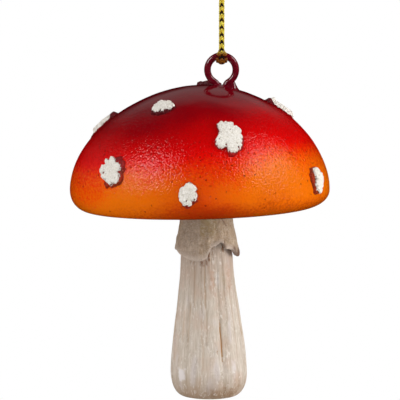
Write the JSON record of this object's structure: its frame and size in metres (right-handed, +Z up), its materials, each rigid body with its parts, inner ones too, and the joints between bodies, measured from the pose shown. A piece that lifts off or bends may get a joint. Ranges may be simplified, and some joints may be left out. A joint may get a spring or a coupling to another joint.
{
  "type": "mushroom christmas ornament",
  "caption": "Hanging toadstool ornament with a glossy red-to-orange cap, raised white warts, a cream stem with a torn skirt, a wire eye in the crown and a knotted gold cord loop.",
  "frame": {"origin": "inside the top of the cord's loop, where a twig or a hook carries it; the ornament hangs below", "axes": "+Z up along the hanging cord, +X to the right of the viewer, +Y away from the viewer"},
  "size_m": [0.058, 0.0591, 0.1369],
  "materials": {
    "cap_paint": "gloss paint on cast resin, maroon at the crown through red to orange at the lip",
    "gill_cream": "matt cream paint on cast resin",
    "stem_cream": "matt beige paint, dry-brushed over grooves",
    "skirt_cream": "matt beige paint, dry-brushed",
    "eye_paint": "dark red gloss paint on bent wire",
    "fillet_paint": "dark red paint over glue",
    "wart_crust": "rough white paint dabbed on raised patches",
    "gold_braid": "metallic gold braid"
  },
  "bodies": {
    "hanging_cord": {"cord_front_leg": "gold_braid", "cord_back_leg": "gold_braid", "cord_knot": "gold_braid"},
    "bight": {"cord_bight": "gold_braid"},
    "mushroom": {"cap": "cap_paint", "gill_plate": "gill_cream", "stem": "stem_cream", "skirt": "skirt_cream", "hanging_eye": "eye_paint", "eye_fillet": "fillet_paint", "wart_01": "wart_crust", "wart_02": "wart_crust", "wart_03": "wart_crust", "wart_04": "wart_crust", "wart_05": "wart_crust", "wart_06": "wart_crust", "wart_07": "wart_crust", "wart_08": "wart_crust", "wart_09": "wart_crust", "wart_10": "wart_crust", "wart_11": "wart_crust", "wart_12": "wart_crust", "wart_13": "wart_crust", "wart_14": "wart_crust"}
  },
  "joints": [
    {"name": "sway", "type": "hinge", "parent": "hanging_cord", "child": "bight", "pos_m": [0, 0, -0.052], "axis": [0, 1, 0], "range_deg": [-45, 45]},
    {"name": "rock", "type": "hinge", "parent": "bight", "child": "mushroom", "pos_m": [0, 0, -0.052], "axis": [1, 0, 0], "range_deg": [-90, 90]}
  ]
}
